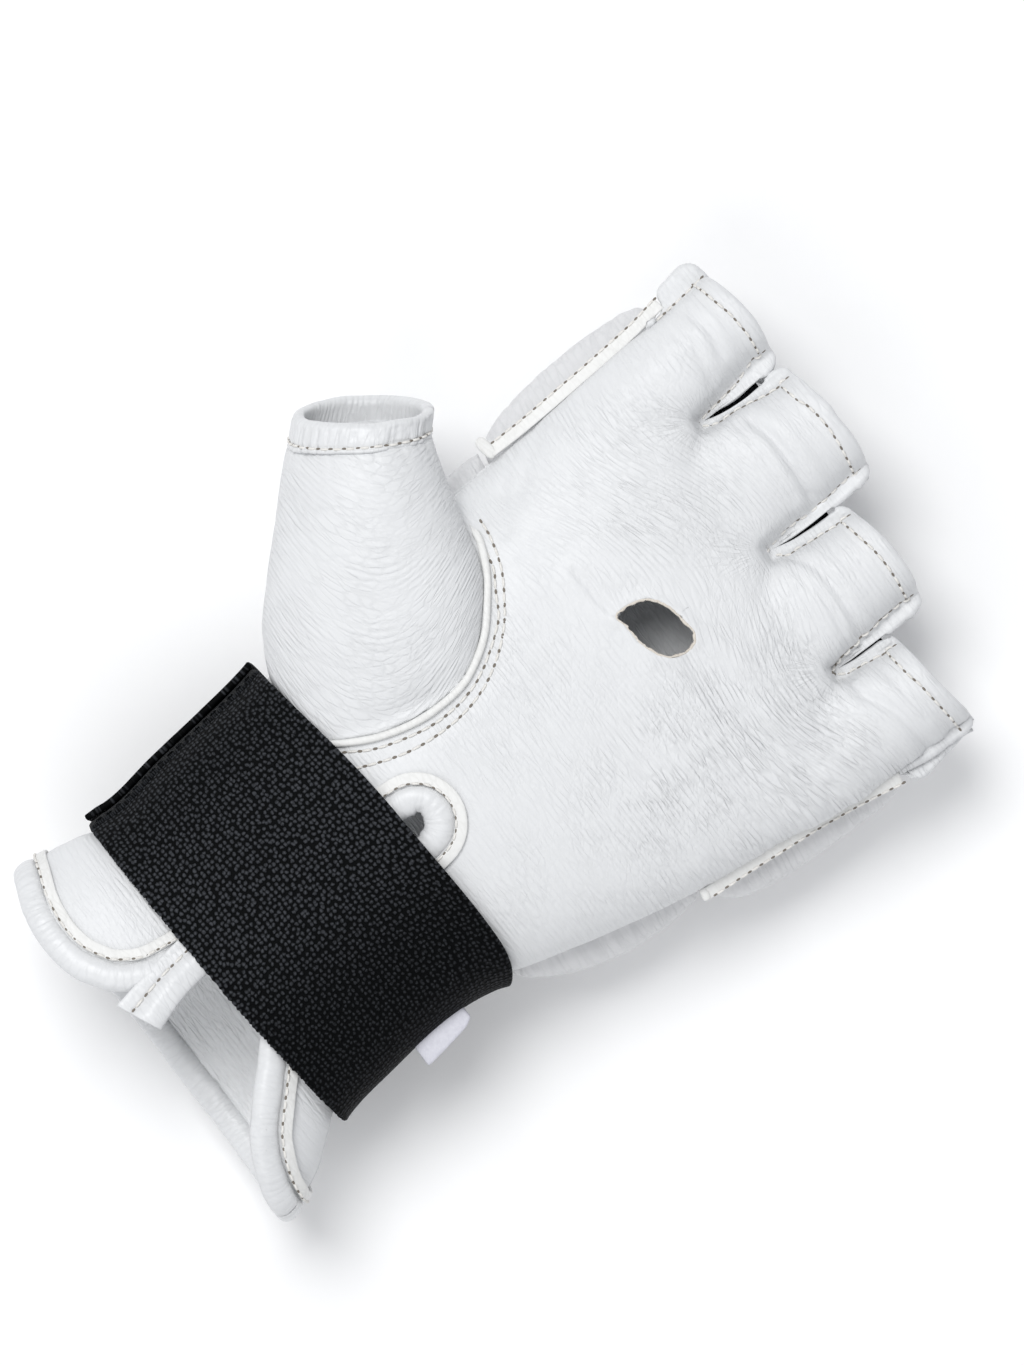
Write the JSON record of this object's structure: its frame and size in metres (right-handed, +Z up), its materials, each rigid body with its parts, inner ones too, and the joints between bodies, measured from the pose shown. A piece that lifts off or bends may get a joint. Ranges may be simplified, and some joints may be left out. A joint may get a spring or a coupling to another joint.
{
  "type": "open-finger karate glove",
  "caption": "Left-hand open-finger karate glove in white leather: padded back, thumb sleeve, palm vent, black elastic wrist strap and rolled cuff.",
  "frame": {"origin": "centre of the glove's footprint, on the surface that it lies on", "axes": "+Y from the wrist towards the fingertips, +X towards the little finger, +Z up out of the palm"},
  "size_m": [0.1365, 0.1896, 0.0575],
  "materials": {
    "white_leather": "satin",
    "pad_leather": "satin",
    "leather_tape": "matte",
    "black_elastic": "woven",
    "black_binding": "satin",
    "woven_tab": "woven"
  },
  "bodies": {
    "root": {"palm_panel": "white_leather", "back_panel": "white_leather", "thumb_sleeve": "white_leather", "thumb_hem": "white_leather", "thumb_welt": "leather_tape", "knuckle_pad": "pad_leather", "hand_pad": "pad_leather", "index_edge_tape": "leather_tape", "little_edge_tape": "leather_tape", "cuff_roll": "pad_leather", "cuff_tape": "leather_tape", "elastic_strap": "black_elastic", "strap_binding": "black_binding", "strap_end": "black_elastic", "pull_tab": "leather_tape", "closure_tab": "woven_tab"}
  },
  "joints": []
}
